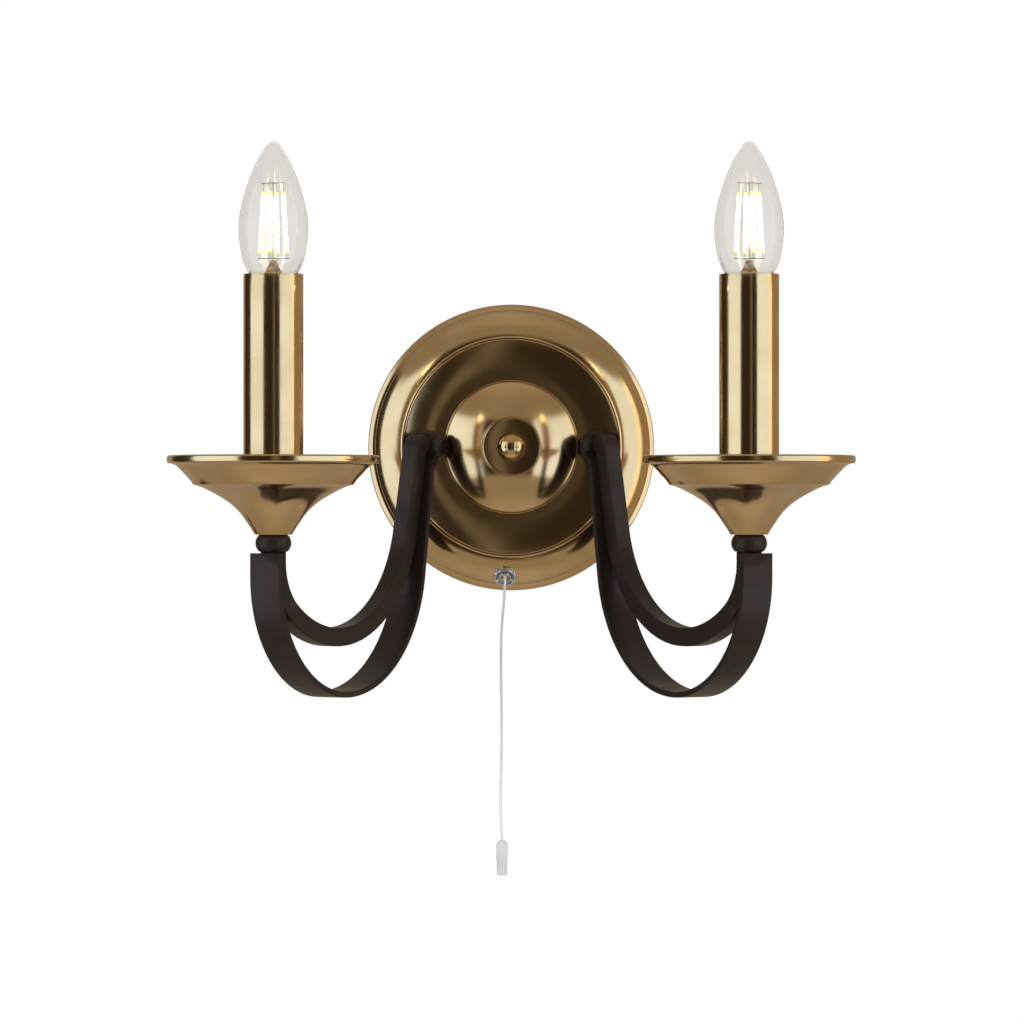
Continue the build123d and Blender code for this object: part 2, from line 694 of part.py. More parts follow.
def cup_outside():
    """The cup's outside, from its foot up the trumpet and the upper cove to under the lip."""
    foot = Vector(CUP_FOOT_RADIUS, CUP_BASE)
    step = Vector(CUP_STEP_RADIUS, CUP_RIM - CUP_STEP_DROP)
    tuck = Vector(CUP_RIM_RADIUS - CUP_LIP_RADIUS, CUP_RIM - 2 * CUP_LIP_RADIUS)
    span = step - foot
    trumpet = Spline(
        [foot, foot + Vector(0.085 * span.X, 0.17 * span.Y), foot + Vector(0.22 * span.X, 0.41 * span.Y),
         foot + Vector(0.455 * span.X, 0.675 * span.Y), foot + Vector(0.72 * span.X, 0.865 * span.Y), step],
        tangents=[(0.45, 1.0), (1.0, 0.22)])
    rise = tuck - step
    cove = Spline(
        [step, step + Vector(0.3 * rise.X, 0.4 * rise.Y), step + Vector(0.62 * rise.X, 0.75 * rise.Y), tuck],
        tangents=[(0.55, 1.0), (1.0, 0.2)])
    return trumpet, cove


def drip_cup():
    """Spun shell: the rolled lip is a full bead, the wall below it is one thickness."""
    trumpet, cove = cup_outside()
    inner_trumpet = inner_line(trumpet, CUP_WALL)
    inner_cove = inner_line(cove, CUP_WALL)
    floor = CUP_BASE + CUP_WALL
    bore = NIPPLE_RADIUS + 2 * FIT_GAP
    lip = CUP_RIM_RADIUS - CUP_LIP_RADIUS
    inside_foot = Vector((inner_trumpet @ 0).X, floor)
    edges = [
        Line((bore, CUP_BASE), trumpet @ 0),
        trumpet,
        cove,
        ThreePointArc(cove @ 1, (CUP_RIM_RADIUS, CUP_RIM - CUP_LIP_RADIUS), (lip, CUP_RIM)),
        ThreePointArc((lip, CUP_RIM), (lip - 1.4, CUP_RIM - 1.1), inner_cove @ 1),
        inner_cove,
        Line(inner_cove @ 0, inner_trumpet @ 1),
        inner_trumpet,
        Polyline(inner_trumpet @ 0, inside_foot, (bore, floor), (bore, CUP_BASE)),
    ]
    return turned(edges)


def candle_foot():
    """Height at which the candle tube's outer edge rests in the trumpet."""
    trumpet, _ = cup_outside()
    inner = inner_line(trumpet, CUP_WALL)
    height = CUP_BASE
    for step in range(101):
        place = inner @ (step / 100)
        if place.X > CANDLE_RADIUS:
            height = place.Y
            break
    return height


def candle_tube():
    foot = candle_foot() + 0.25
    return ring(CANDLE_RADIUS - CANDLE_WALL, CANDLE_RADIUS, foot, CANDLE_TOP_Z)


def cup_locknut():
    base = CUP_BASE + CUP_WALL
    return hexagon(NIPPLE_NUT_ACROSS, base, base + CUP_NUT_HEIGHT, NIPPLE_RADIUS + FIT_GAP)


def holder_base():
    return CANDLE_TOP_Z - HOLDER_BELOW_TOP


def holder_stem():
    """The hollow stem that carries the lampholder on the nipple."""
    foot = CUP_BASE + CUP_WALL + CUP_NUT_HEIGHT
    top = holder_base()
    neck = top + HOLDER_BASE - 0.5
    flange = top - STEM_FLANGE_HEIGHT
    step = CUP_BASE + CUP_NIPPLE_HEIGHT + 0.5
    wide = NIPPLE_RADIUS + FIT_GAP
    corners = [
        (wide, foot), (STEM_RADIUS, foot), (STEM_RADIUS, flange), (STEM_FLANGE_RADIUS, flange),
        (STEM_FLANGE_RADIUS, top), (STEM_RADIUS, top), (STEM_RADIUS, neck), (NIPPLE_BORE_RADIUS, neck),
        (NIPPLE_BORE_RADIUS, step), (wide, step),
    ]
    return turned(Polyline(corners, close=True))


def lampholder():
    base = holder_base()
    top = base + HOLDER_HEIGHT
    floor = base + HOLDER_BASE
    bore = SHELL_RADIUS + FIT_GAP
    hole = STEM_RADIUS + FIT_GAP
    edges = Polyline(
        [(hole, base), (HOLDER_RADIUS - 1, base), (HOLDER_RADIUS, base + 1), (HOLDER_RADIUS, top - 1),
         (HOLDER_RADIUS - 1, top), (bore, top), (bore, floor), (hole, floor)], close=True)
    return turned(edges)


def shell_top():
    return holder_base() + HOLDER_HEIGHT - SHELL_BELOW_TOP


def holder_shell():
    """The screw shell in the lampholder."""
    return ring(SHELL_BORE_RADIUS, SHELL_RADIUS, shell_top() - SHELL_HEIGHT, shell_top())


def cap_base():
    """Height of the lamp's end contact."""
    return CANDLE_TOP_Z - CAP_BELOW_TOP


def holder_contact():
    """The sprung tongue under the lamp's end contact."""
    floor = holder_base() + HOLDER_BASE
    tip = cap_base() - 0.3
    wide = 4.0
    thick = 0.6
    foot = Pos(4.2, floor + thick / 2, 0) * Box(5.6, thick, wide)
    riser = Pos(6.7, (floor + tip) / 2, 0) * Box(thick, tip - floor, wide)
    tongue = Pos(2.6, tip - thick / 2, 0) * Box(8.8, thick, wide)
    return foot + riser + tongue


def lamp_cap():
    """Screw cap: end contact, insulator and a rolled thread."""
    base = cap_base()
    skirt = base + 4.0
    root = CAP_RADIUS - 0.45
    corners = [(0, base), (2.3, base), (2.3, base + 0.8), (4.2, base + 1.2), (root, skirt)]
    height = skirt
    for turn in range(CAP_THREAD_TURNS):
        corners.append((root, height + 0.15 * CAP_THREAD_PITCH))
        corners.append((CAP_RADIUS, height + 0.45 * CAP_THREAD_PITCH))
        corners.append((CAP_RADIUS, height + 0.6 * CAP_THREAD_PITCH))
        height += CAP_THREAD_PITCH
        corners.append((root, height - 0.1 * CAP_THREAD_PITCH))
    top = base + CAP_LENGTH
    neck = GLASS_NECK_RADIUS + FIT_GAP
    corners += [(CAP_RADIUS, height + 0.5), (CAP_RADIUS, top), (neck, top)]
    corners += [(neck, skirt + 1), (0, skirt + 1)]
    return turned(Polyline(corners, close=True))


def glass_tip(tilt, inset=0.0):
    """A point of the envelope's rounded tip, where the glass leans `tilt` degrees from level."""
    centre = cap_base() + CAP_LENGTH + GLASS_HEIGHT - GLASS_TIP_RADIUS
    radius = GLASS_TIP_RADIUS - inset
    return Vector(radius * sine(tilt), centre + radius * cosine(tilt))


def glass_outline():
    """Outside of the lamp's envelope, from its neck to its rounded tip: shares of height and radius."""
    neck_top = cap_base() + CAP_LENGTH
    shape = [(0.0375, 0.5), (0.117, 0.715), (0.17, 0.825), (0.264, 0.93), (0.418, 1.0), (0.572, 0.915),
             (0.727, 0.725), (0.84, 0.53), (0.925, 0.335)]
    places = [(GLASS_NECK_RADIUS, neck_top + WIRE_RADIUS)]
    places += [(radius * GLASS_RADIUS, neck_top + height * GLASS_HEIGHT) for height, radius in shape]
    return Spline(places + [glass_tip(GLASS_TIP_TILT)])


def lamp_glass():
    outline = glass_outline()
    inner = inner_line(outline, GLASS_WALL, 25)
    foot = cap_base() + CAP_LENGTH - 4.0
    top = glass_tip(0)
    inner_top = glass_tip(0, GLASS_WALL)
    half_tip = GLASS_TIP_TILT / 2
    neck = GLASS_NECK_RADIUS
    edges = [
        Line((neck, foot), outline @ 0),
        outline,
        ThreePointArc(outline @ 1, glass_tip(half_tip), top),
        Line(top, inner_top),
        ThreePointArc(inner_top, glass_tip(half_tip, GLASS_WALL), inner @ 1),
        inner,
        Polyline(inner @ 0, ((inner @ 0).X, foot), (neck, foot)),
    ]
    return turned(edges)


def stem_top():
    return CANDLE_TOP_Z + GLASS_STEM_TOP


def lamp_stem():
    """The flared glass stem that carries the lamp's wires."""
    foot = cap_base() + CAP_LENGTH - 4.0
    flare_top = CANDLE_TOP_Z - 1.0
    middle = (0.45 * GLASS_STEM_RADIUS + 0.55 * GLASS_STEM_TIP_RADIUS, CANDLE_TOP_Z + 0.45 * GLASS_STEM_TOP)
    edges = [
        Polyline((0, foot), (GLASS_STEM_RADIUS, foot), (GLASS_STEM_RADIUS, flare_top)),
        Spline([(GLASS_STEM_RADIUS, flare_top), middle, (GLASS_STEM_TIP_RADIUS, stem_top())],
               tangents=[(-0.3, 1.0), (-0.1, 1.0)]),
        Polyline((GLASS_STEM_TIP_RADIUS, stem_top()), (0, stem_top()), (0, foot)),
    ]
    return turned(edges)


def around_lamp(number, radius, height):
    """A point on one stick's side of the lamp, about its +Y axis."""
    turn = STICK_FIRST_TURN + 360 * number / STICK_COUNT
    return Vector(radius * cosine(turn), CANDLE_TOP_Z + height, radius * sine(turn))


def stick_ends(number):
    """Foot and top of one glowing stick."""
    foot = around_lamp(number, STICK_FOOT_SPREAD, STICK_FOOT)
    top = around_lamp(number, STICK_TOP_SPREAD, STICK_TOP)
    return foot, top


def round_bar(start, end, radius):
    axis = end - start
    return Plane(origin=start, z_dir=axis) * Cylinder(
        radius, axis.length, align=(Align.CENTER, Align.CENTER, Align.MIN))


def lamp_filaments():
    sticks = []
    for number in range(STICK_COUNT):
        foot, top = stick_ends(number)
        sticks.append(round_bar(foot, top, STICK_RADIUS))
    return Compound(sticks)


def lamp_wires():
    """The mast and the small bent wires that hold the sticks at both ends."""
    mast_foot = Vector(0, stem_top(), 0)
    mast_top = Vector(0, CANDLE_TOP_Z + STICK_TOP + WIRE_ABOVE + 2 * WIRE_RADIUS, 0)
    wires = round_bar(mast_foot, mast_top, MAST_RADIUS)
    for number in range(STICK_COUNT):
        foot, top = stick_ends(number)
        above = STICK_TOP + WIRE_ABOVE
        below = STICK_FOOT - WIRE_BELOW
        overhang = WIRE_BELOW / 2
        wires += round_bar(around_lamp(number, 0, above),
                           around_lamp(number, STICK_TOP_SPREAD + overhang, above), WIRE_RADIUS)
        wires += round_bar(around_lamp(number, 0, below),
                           around_lamp(number, STICK_FOOT_SPREAD + overhang, below), WIRE_RADIUS)
        wires += round_bar(around_lamp(number, STICK_TOP_SPREAD, above), top, TAIL_RADIUS)
        wires += round_bar(around_lamp(number, STICK_FOOT_SPREAD, below), foot, TAIL_RADIUS)
    return wires - lamp_filaments()


# ---------------------------------------------------------------- the whole sconce

def centre_pieces():
    return {
        "wall_bracket": wall_bracket(),
        "centre_rod": centre_rod(),
        "rod_nut": rod_nut(),
        "earth_screw": earth_screw(),
        "terminal_block": terminal_block(),
        "terminal_screws": terminal_screws(),
        "backplate": backplate(),
        "centre_dome": centre_dome(),
        "finial_dish": finial_dish(),
        "finial_ball": finial_ball(),
        "switch_body": switch_body(),
        "switch_plunger": switch_plunger(),
        "cord_guide": cord_guide(),
        "guide_ring": guide_ring(),
        "guide_nut": guide_nut(),
        "pull_cord": pull_cord(),
        "pull_weight": pull_weight(),
    }


def right_side_pieces():
    """One arm with its cup, candle and lamp, in place on the right of the plate."""
    pieces = {"wall_ball": wall_ball(), "saddle_washer": saddle_washer()}
    along_arm = {
        "arm_nipple": arm_nipple(),
        "arm_locknut": arm_locknut(),
        "arm_tube": arm_tube(),
        "arm_strip": arm_strip(),
        "arm_flex": arm_flex(),
    }
    on_cup_axis = {
        "cup_ball": cup_ball(),
        "cup_nipple": cup_nipple(),
        "drip_cup": drip_cup(),
        "cup_locknut": cup_locknut(),
        "holder_stem": holder_stem(),
        "lampholder": lampholder(),
        "holder_shell": holder_shell(),
        "holder_contact": holder_contact(),
        "candle_tube": candle_tube(),
        "lamp_cap": lamp_cap(),
        "lamp_glass": lamp_glass(),
        "lamp_stem": lamp_stem(),
        "lamp_filaments": lamp_filaments(),
        "lamp_wires": lamp_wires(),
    }
    for name, piece in along_arm.items():
        pieces[name] = at_arm() * piece
    for name, piece in on_cup_axis.items():
        pieces[name] = at_cup() * piece
    return pieces


os.makedirs("parts", exist_ok=True)
for name, piece in centre_pieces().items():
    export_step(piece, "parts/" + name + ".step")
for name, piece in right_side_pieces().items():
    export_step(piece, "parts/" + name + "_right.step")
    export_step(mirror(piece, about=Plane.YZ), "parts/" + name + "_left.step")
print("cup axis", at_cup().position, "reach", round(REACH, 2), "cup base", round(CUP_BASE, 2))
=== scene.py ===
# %% [markdown]
# # Double arm wall sconce
# A round spun-brass wall plate carries two bowed, dark bronze arms. Each arm holds a spun brass drip
# cup, a candle tube and a clear candle lamp, and a pull cord hangs from a small ferrule under the
# plate. The measured solids arrive as a fixed frame. This lesson gives each of them its finish and
# turns the polished pieces again with finer meshes, because a polished surface shows every facet.

# %% Load the frame
import json
import math
import bpy
from mathutils import Matrix, Vector


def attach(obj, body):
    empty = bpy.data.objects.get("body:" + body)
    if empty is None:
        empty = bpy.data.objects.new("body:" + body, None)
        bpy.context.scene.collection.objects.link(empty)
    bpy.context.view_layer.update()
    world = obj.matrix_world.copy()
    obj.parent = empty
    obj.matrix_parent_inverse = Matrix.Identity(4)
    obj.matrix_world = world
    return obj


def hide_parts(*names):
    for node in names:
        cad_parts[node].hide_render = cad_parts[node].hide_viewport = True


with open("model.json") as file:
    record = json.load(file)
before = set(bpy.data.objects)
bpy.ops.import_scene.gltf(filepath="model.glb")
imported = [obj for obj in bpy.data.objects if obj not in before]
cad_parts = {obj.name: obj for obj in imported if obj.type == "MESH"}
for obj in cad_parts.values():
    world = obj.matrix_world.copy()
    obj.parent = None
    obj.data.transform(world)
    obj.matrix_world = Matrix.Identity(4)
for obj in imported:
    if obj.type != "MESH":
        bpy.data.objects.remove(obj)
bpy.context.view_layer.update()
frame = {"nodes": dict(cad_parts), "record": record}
MM = 0.001
CUP_X, CUP_Y = 0.119037, -0.142809
CANDLE_TOP = 0.084687

# %% [markdown]
# ## Camera
# The photograph is one long-lens view straight on to the wall. The lens and the distance were worked
# out from how much larger the cups look than the plate, which stands further back. Depth of field is
# left off, so every piece is sharp.

# %% Set up the camera
SENSOR_WIDTH = 36
PICTURE_WIDTH = 1024
DISTANCE_IN_PIXELS = 4511
camera_data = bpy.data.cameras.new("camera")
camera_data.sensor_width = SENSOR_WIDTH
camera_data.lens = SENSOR_WIDTH * DISTANCE_IN_PIXELS / PICTURE_WIDTH
camera_data.clip_end = 20
camera = bpy.data.objects.new("camera", camera_data)
camera.location = (0.00037, -2.4, -0.0343)
camera.rotation_euler = (math.radians(90), 0, 0)
bpy.context.scene.collection.objects.link(camera)
bpy.context.scene.camera = camera
bpy.context.scene.view_settings.view_transform = "Standard"
print("lens", round(camera_data.lens, 1))

# %% [markdown]
# ## Pull cord
# The cord is a thin limp string with the slight waves that it keeps from its packing. It could be a
# row of straight rods, but a NURBS spline bends smoothly through the same few points. The thickness is
# given as the radius of each point, which keeps the piece's own box as slim as the string.

# %% Draw the pull cord
CORD_DIAMETER = 1.4 * MM
CORD_ROUTE = [
    (-3.25, -16.5, -67.9),
    (-3.60, -16.5, -80.0),
    (-5.20, -16.3, -94.5),
    (-5.55, -16.6, -116.5),
    (-5.05, -16.7, -140.5),
    (-5.20, -16.4, -166.5),
    (-5.95, -16.5, -190.5),
    (-4.90, -16.6, -207.5),
]


def cord_curve(name, route, diameter):
    """A round string that follows the route's points in one smooth line."""
    curve = bpy.data.curves.new(name, "CURVE")
    curve.dimensions = "3D"
    curve.bevel_depth = 1.0
    curve.bevel_resolution = 6
    curve.resolution_u = 16
    curve.use_fill_caps = True
    line = curve.splines.new("NURBS")
    line.points.add(len(route) - 1)
    for point, place in zip(line.points, route):
        point.co = (place[0] * MM, place[1] * MM, place[2] * MM, 1)
        point.radius = diameter / 2
    line.order_u = 3
    line.use_endpoint_u = True
    piece = bpy.data.objects.new(name, curve)
    bpy.context.scene.collection.objects.link(piece)
    return piece


pull_string = cord_curve("pull_string", CORD_ROUTE, CORD_DIAMETER)
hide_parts("pull_cord")
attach(pull_string, "pull_switch_cord")
print("cord points", len(CORD_ROUTE))

# %% [markdown]
# ## Studio
# Polished brass has hardly any colour of its own: it shows the room. The photograph's room is a white
# tent with a tall soft box at each side and the dark camera side between them. Real lamps could make
# those bands, but the world is simpler: it asks in which compass direction a reflection looks, and
# answers with that wall of the studio. The eye itself sees plain white behind the sconce.

# %% Build the studio's walls
WALL_COLOURS = [
    # from, to (degrees round from the camera side, plus is right), colour of that part of the studio
    (-180, -139, (0.38, 0.30, 0.21)),
    (-137, -97, (0.046, 0.035, 0.025)),
    (-93, -38, (1.20, 1.44, 1.84)),
    (-34, 1, (0.036, 0.027, 0.019)),
    (3, 8, (0.20, 0.18, 0.15)),
    (10, 26, (0.036, 0.027, 0.019)),
    (30, 79, (1.20, 1.44, 1.84)),
    (81, 93, (1.70, 1.55, 1.25)),
    (97, 180, (0.37, 0.29, 0.20)),
]
CEILING = (0.345, 0.305, 0.255)
FLOOR_GLOW = (0.385, 0.34, 0.285)
STRAIGHT_UP_OR_DOWN = 1.3
BOXES_END, CEILING_STARTS = 0.47, 0.57
DAYLIGHT = (0.56, 0.555, 0.55)

world = bpy.data.worlds.new("studio")
bpy.context.scene.world = world
world.use_nodes = True
tree = world.node_tree
tree.nodes.clear()


def link(tree, source, target):
    """Joins one node's output to another node's input."""
    tree.links.new(source, target)


def math_node(tree, operation, first, second=None):
    """One sum: the inputs are numbers or other nodes' outputs."""
    node = tree.nodes.new("ShaderNodeMath")
    node.operation = operation
    for socket, value in zip(node.inputs, (first, second)):
        if value is None:
            continue
        if isinstance(value, (int, float)):
            socket.default_value = value
        else:
            link(tree, value, socket)
    return node.outputs[0]


def mix_node(tree, share, first, second):
    """Mixes two colours by a share; the colours are triples or other nodes' outputs."""
    node = tree.nodes.new("ShaderNodeMix")
    node.data_type = "RGBA"
    for socket, value in ((node.inputs[0], share), (node.inputs[6], first), (node.inputs[7], second)):
        if isinstance(value, (int, float)):
            socket.default_value = value
        elif isinstance(value, tuple):
            socket.default_value = (*value, 1)
        else:
            link(tree, value, socket)
    return node.outputs[2]


def range_node(tree, value, low, high, to_low=0.0, to_high=1.0):
    """Stretches a value from one range on to another, smoothly and within its ends."""
    node = tree.nodes.new("ShaderNodeMapRange")
    node.interpolation_type = "SMOOTHSTEP"
    node.inputs["From Min"].default_value = low
    node.inputs["From Max"].default_value = high
    node.inputs["To Min"].default_value = to_low
    node.inputs["To Max"].default_value = to_high
    link(tree, value, node.inputs["Value"])
    return node.outputs[0]


looking = tree.nodes.new("ShaderNodeTexCoord").outputs["Generated"]
parts = tree.nodes.new("ShaderNodeSeparateXYZ")
link(tree, looking, parts.inputs[0])
across, into, upwards = parts.outputs
round_about = math_node(tree, "ARCTAN2", across, math_node(tree, "MULTIPLY", into, -1.0))
share_round = math_node(tree, "MULTIPLY_ADD", round_about, 1 / (2 * math.pi))
share_round.node.inputs[2].default_value = 0.5
walls = tree.nodes.new("ShaderNodeValToRGB")
stops = [(edge / 360 + 0.5, colour) for start, end, colour in WALL_COLOURS for edge in (start, end)]
for index, (position, colour) in enumerate(stops):
    stop = walls.color_ramp.elements[index] if index < 2 else walls.color_ramp.elements.new(position)
    stop.position = position
    stop.color = (*colour, 1)
link(tree, share_round, walls.inputs[0])
print("studio walls", len(WALL_COLOURS))

# %% [markdown]
# The soft boxes stop some way above and below the sconce, where ceiling and floor begin. A ray that
# comes through the lamp glass meets the same plain white as the eye, and matt surfaces get one level
# of light from all round.

# %% Join the walls, the backdrop and the plain light
steepness = math_node(tree, "ABSOLUTE", upwards)
over_or_under = mix_node(tree, range_node(tree, upwards, -0.1, 0.1), FLOOR_GLOW, CEILING)
brighter = tree.nodes.new("ShaderNodeVectorMath")
brighter.operation = "SCALE"
link(tree, over_or_under, brighter.inputs[0])
link(tree, range_node(tree, steepness, 0.80, 1.0, 1.0, STRAIGHT_UP_OR_DOWN), brighter.inputs["Scale"])
past_the_boxes = range_node(tree, steepness, BOXES_END, CEILING_STARTS)
studio = mix_node(tree, past_the_boxes, walls.outputs[0], brighter.outputs[0])
ray = tree.nodes.new("ShaderNodeLightPath").outputs
sees_white = math_node(tree, "MAXIMUM", ray["Is Camera Ray"], ray["Is Transmission Ray"])
room = mix_node(tree, ray["Is Diffuse Ray"], studio, DAYLIGHT)
seen = mix_node(tree, sees_white, room, (1.0, 1.0, 1.0))
background = tree.nodes.new("ShaderNodeBackground")
world_output = tree.nodes.new("ShaderNodeOutputWorld")
link(tree, seen, background.inputs["Color"])
link(tree, background.outputs[0], world_output.inputs[0])
print("world nodes", len(tree.nodes))

# %% [markdown]
# Two soft lamps stand where the soft boxes are. They give the matt pieces a little shape, while the
# polished pieces see the world's boxes instead, so the lamps are hidden from reflections. A pale
# floor lies below the picture for the views from above.

# %% Add the soft lamps and the floor
def soft_lamp(name, place, power):
    """A tall soft light that faces the sconce."""
    data = bpy.data.lights.new(name, "AREA")
    data.shape = "RECTANGLE"
    data.size, data.size_y = 0.8, 1.5
    data.energy = power
    lamp = bpy.data.objects.new(name, data)
    lamp.location = place
    lamp.rotation_euler = (-Vector(place)).to_track_quat("-Z", "Y").to_euler()
    lamp.visible_glossy = False
    lamp.visible_transmission = False
    bpy.context.scene.collection.objects.link(lamp)


LAMP_WATTS = 13
FLOOR_SIZE, FLOOR_PLACE = 5.0, (0, -1.1, -0.55)
soft_lamp("lamp_left_side", (-1.5, -1.2, 0.5), LAMP_WATTS)
soft_lamp("lamp_right_side", (1.5, -1.2, 0.5), LAMP_WATTS)
bpy.ops.object.select_all(action="DESELECT")
bpy.ops.mesh.primitive_plane_add(size=FLOOR_SIZE, location=FLOOR_PLACE)
floor = bpy.context.object
floor.name = "studio_floor"
floor.visible_glossy = False
bpy.ops.object.transform_apply(location=True)
print("floor", floor.name)

# %% [markdown]
# ## Finishes
# Every finish starts from one shader, and the pattern comes from noise: at a scale of centimetres for
# handling marks and at a scale of tenths of a millimetre for grain. Colours or roughness that are the
# same all over are set on the shader itself.

# %% Start a finish and lay noise over it
FINISH = {}


def start_finish(slot_name):
    """A new finish for one slot, with its shader at the ready."""
    material = bpy.data.materials.new(slot_name)
    material.use_nodes = True
    FINISH[slot_name] = material
    return material.node_tree, material.node_tree.nodes["Principled BSDF"]


def noise(tree, scale, detail=3.0, stretch=(1, 1, 1), space="Object"):
    """Noise in metres over the piece, or over its own map of rings."""
    place = tree.nodes.new("ShaderNodeTexCoord").outputs[space]
    mapping = tree.nodes.new("ShaderNodeMapping")
    mapping.inputs["Scale"].default_value = stretch
    texture = tree.nodes.new("ShaderNodeTexNoise")
    texture.inputs["Scale"].default_value = scale
    texture.inputs["Detail"].default_value = detail
    link(tree, place, mapping.inputs[0])
    link(tree, mapping.outputs[0], texture.inputs["Vector"])
    return texture.outputs[0]


def bump(tree, shader, height, strength, distance, before=None):
    """Raises the surface by a pattern, on top of another bump where one is given."""
    node = tree.nodes.new("ShaderNodeBump")
    node.inputs["Strength"].default_value = strength
    node.inputs["Distance"].default_value = distance
    link(tree, height, node.inputs["Height"])
    if before is not None:
        link(tree, before, node.inputs["Normal"])
    link(tree, node.outputs[0], shader.inputs["Normal"])
    return node.outputs[0]


def two_tone(tree, shader, pattern, first, second, low=0.35, high=0.65):
    """Colours that drift between two tones of one finish."""
    share = range_node(tree, pattern, low, high)
    link(tree, mix_node(tree, share, first, second), shader.inputs["Base Color"])


def rough(tree, shader, pattern, low, high):
    """Shine that drifts between two levels of roughness."""
    link(tree, range_node(tree, pattern, 0.3, 0.7, low, high), shader.inputs["Roughness"])


print("finish helpers ready")

# %% [markdown]
# Antique brass is polished, then toned and lacquered. The spinning lathe leaves hair-thin rings, so
# the grain is stretched along the piece's own ring map: long round it, very short across it. Handling
# leaves the lacquer a little softer in places, and the toned colour drifts from gold to amber.

# %% Antique brass, spun and lacquered
tree, shader = start_finish("antique_brass")
shader.inputs["Metallic"].default_value = 1.0
shader.inputs["Coat Weight"].default_value = 0.35
shader.inputs["Coat Roughness"].default_value = 0.06
clouds = noise(tree, 38, 4.0)
rings = noise(tree, 1.0, 4.0, stretch=(5, 2600, 1), space="UV")
two_tone(tree, shader, clouds, (0.710, 0.500, 0.250), (0.655, 0.445, 0.205))
smears = math_node(tree, "ADD", math_node(tree, "MULTIPLY", clouds, 0.6),
                   math_node(tree, "MULTIPLY", rings, 0.4))
rough(tree, shader, smears, 0.115, 0.20)
bump(tree, shader, rings, 0.10, 0.00002)
print("antique brass")

# %% [markdown]
# The arms are dark bronze lacquer over steel: nearly black, with a warm brown in it and a satin
# shine. Sprayed lacquer is never quite flat, so a fine orange peel breaks up its highlights.

# %% Dark bronze lacquer
tree, shader = start_finish("dark_bronze")
shader.inputs["Specular IOR Level"].default_value = 0.23
shader.inputs["Specular Tint"].default_value = (1.0, 0.77, 0.63, 1)
patches = noise(tree, 60, 3.0)
peel = noise(tree, 900, 2.0)
two_tone(tree, shader, patches, (0.0240, 0.0160, 0.0130), (0.0185, 0.0125, 0.0105))
rough(tree, shader, patches, 0.27, 0.37)
bump(tree, shader, peel, 0.18, 0.00012)
print("dark bronze")

# %% [markdown]
# The hidden fittings are ordinary hardware: zinc plate with its dull bloom, bright plated nuts and
# turned brass screws. One helper makes them all, because they differ only in colour and shine.

# %% Plated and turned metals
def plain_metal(slot_name, light, dark, low, high, grain, depth):
    """A metal in two close tones, with its bloom and its grain."""
    tree, shader = start_finish(slot_name)
    shader.inputs["Metallic"].default_value = 1.0
    bloom = noise(tree, 120, 4.0)
    two_tone(tree, shader, bloom, light, dark)
    rough(tree, shader, bloom, low, high)
    bump(tree, shader, noise(tree, grain, 3.0), 0.2, depth)


plain_metal("bracket_steel", (0.62, 0.62, 0.60), (0.50, 0.50, 0.49), 0.30, 0.46, 700, 0.00006)
plain_metal("plated_steel", (0.66, 0.65, 0.62), (0.56, 0.55, 0.53), 0.20, 0.34, 900, 0.00003)
plain_metal("brass_fittings", (0.72, 0.55, 0.26), (0.62, 0.46, 0.20), 0.22, 0.36, 900, 0.00003)
plain_metal("chrome_guide", (0.70, 0.70, 0.71), (0.62, 0.62, 0.63), 0.08, 0.18, 600, 0.00002)
plain_metal("lamp_cap_metal", (0.78, 0.78, 0.77), (0.68, 0.68, 0.66), 0.25, 0.38, 1100, 0.00003)
print("metals", len(FINISH))

# %% [markdown]
# Moulded plastic copies the fine grain of its steel mould and gathers a little grime in random patches.
# The string is a tight braid, so a diagonal wave over fine fibre noise gives it its plaits.

# %% Plastics and string
def plastic(slot_name, clean, worn, low, high, grain, depth):
    """A moulded plastic in a clean and a worn tone, with its mould's grain."""
    tree, shader = start_finish(slot_name)
    cloud = noise(tree, 90, 3.0)
    two_tone(tree, shader, cloud, clean, worn)
    rough(tree, shader, cloud, low, high)
    bump(tree, shader, noise(tree, grain, 2.0), 0.2, depth)
    return shader


plastic("white_plastic", (0.83, 0.82, 0.79), (0.76, 0.75, 0.71), 0.38, 0.5, 1500, 0.00005)
plastic("holder_plastic", (0.060, 0.055, 0.050), (0.045, 0.042, 0.038), 0.35, 0.5, 1500, 0.00005)
weight = plastic("weight_plastic", (0.80, 0.79, 0.75), (0.72, 0.71, 0.66), 0.24, 0.36, 1300, 0.00005)
weight.inputs["Subsurface Weight"].default_value = 0.15
weight.inputs["Subsurface Scale"].default_value = 0.002
plastic("flex_sheath", (0.66, 0.64, 0.60), (0.58, 0.56, 0.52), 0.45, 0.6, 1200, 0.00004)

tree, shader = start_finish("cord_fibre")
shader.inputs["Sheen Weight"].default_value = 0.3
fibres = noise(tree, 2600, 3.0)
plaits = tree.nodes.new("ShaderNodeTexWave")
plaits.bands_direction = "DIAGONAL"
plaits.inputs["Scale"].default_value = 420
plaits.inputs["Distortion"].default_value = 1.2
link(tree, tree.nodes.new("ShaderNodeTexCoord").outputs["Object"], plaits.inputs["Vector"])
two_tone(tree, shader, plaits.outputs["Fac"], (0.88, 0.88, 0.85), (0.96, 0.96, 0.94), 0.1, 0.7)
rough(tree, shader, fibres, 0.75, 0.9)
bump(tree, shader, plaits.outputs["Fac"], 0.6, 0.00012, bump(tree, shader, fibres, 0.4, 0.00005))
print("plastics and string", len(FINISH))
